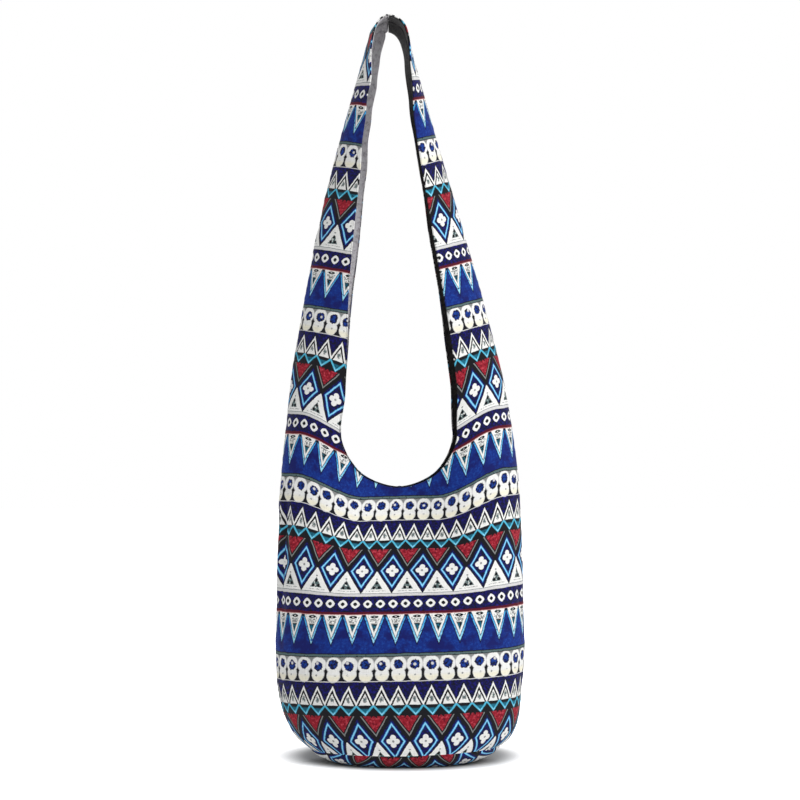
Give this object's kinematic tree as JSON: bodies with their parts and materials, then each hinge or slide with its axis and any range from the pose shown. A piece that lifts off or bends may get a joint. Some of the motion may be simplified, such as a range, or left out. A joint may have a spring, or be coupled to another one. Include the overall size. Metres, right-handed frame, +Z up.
{
  "type": "shoulder bag",
  "caption": "Tall slouchy shoulder bag of printed cotton, two panels that run up into a wide strap, open mouth, dark lining and an oval base.",
  "frame": {"origin": "on the floor under the middle of the bag's outer box, where the flat middle of the base rests", "axes": "+X across the bag to the right as seen from the front, +Y to its back, +Z up along the strap"},
  "size_m": [0.2817, 0.149, 0.84],
  "materials": {
    "printed_cotton": "woven cotton printed in bands of navy, royal blue, sky blue, white and red, matt",
    "lining_cotton": "plain woven dark grey cotton, matt"
  },
  "bodies": {
    "root": {"front_panel": "printed_cotton", "back_panel": "printed_cotton", "base_panel": "printed_cotton", "lining_front": "lining_cotton", "lining_back": "lining_cotton", "lining_base": "lining_cotton"}
  },
  "joints": []
}
